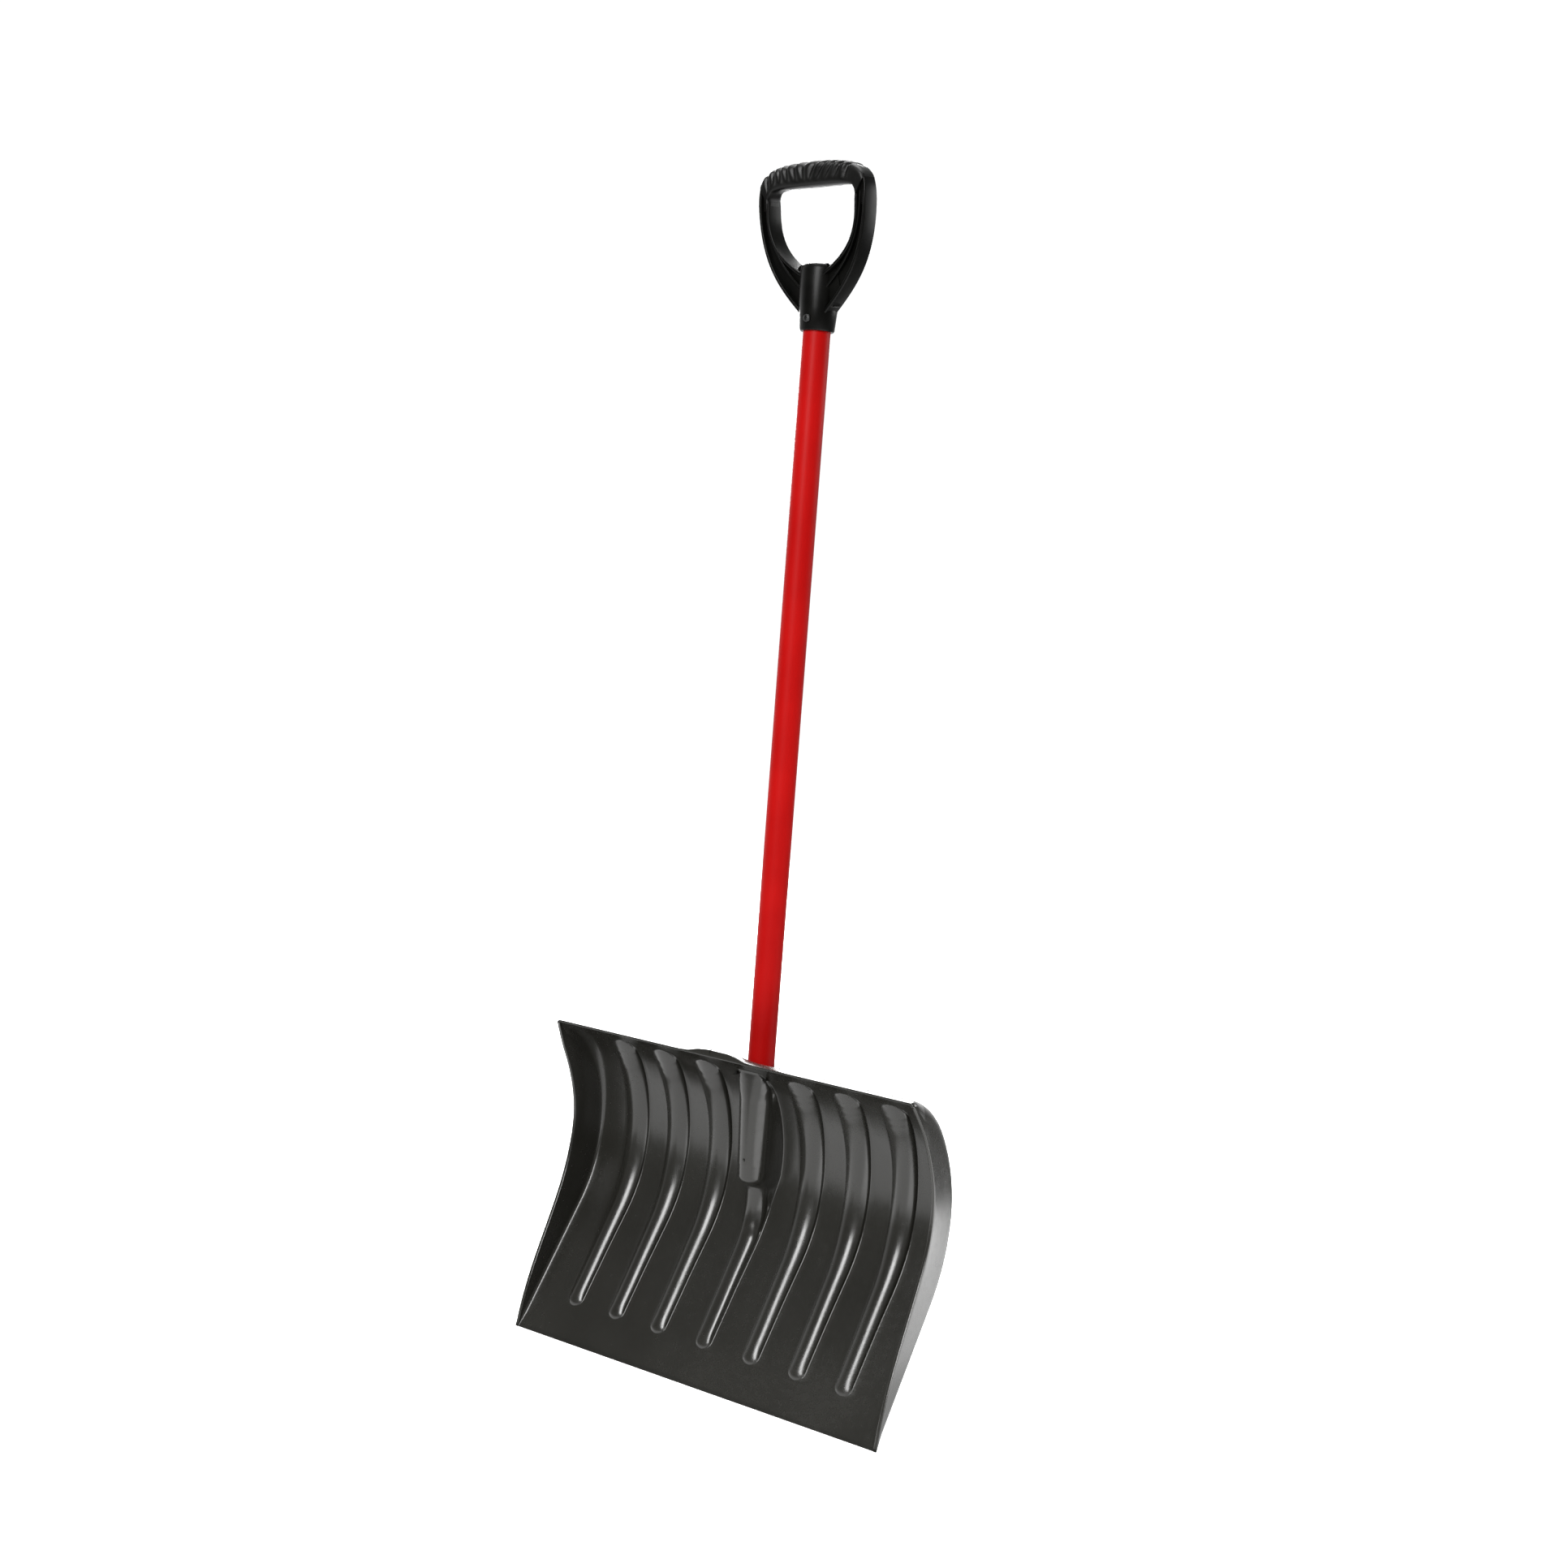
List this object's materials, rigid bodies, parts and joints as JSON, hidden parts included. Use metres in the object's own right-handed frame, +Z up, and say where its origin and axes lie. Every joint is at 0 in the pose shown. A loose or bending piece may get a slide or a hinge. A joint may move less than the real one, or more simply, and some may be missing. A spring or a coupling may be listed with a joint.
{
  "type": "snow shovel",
  "caption": "Snow shovel: curved ribbed plastic scoop blade with side wings, straight round shaft in a moulded socket, and a D-shaped hand grip with a ridged soft bar.",
  "frame": {"origin": "the middle of the whole part's box, on the plane of the scraping edge", "axes": "+Z up along the shaft, +X to the right seen from the front, -Y towards the hollow front of the blade"},
  "size_m": [0.457, 0.1238, 1.231],
  "materials": {
    "blade_plastic": "charcoal black moulded polyethylene, satin gloss",
    "red_plastic": "bright red plastic sleeve, smooth satin gloss",
    "steel": "bare drawn steel tube",
    "wood": "bare turned dowel",
    "grip_plastic": "black moulded polypropylene, glossy",
    "grip_soft": "black soft-touch cover, matte",
    "screw_steel": "zinc-plated screw"
  },
  "bodies": {
    "root": {"blade": "blade_plastic", "steel_tube": "steel", "red_sleeve": "red_plastic", "lower_plug": "wood", "upper_plug": "wood", "grip_yoke": "grip_plastic", "grip_cover": "grip_soft", "grip_screw": "screw_steel", "socket_screws": "screw_steel"}
  },
  "joints": []
}
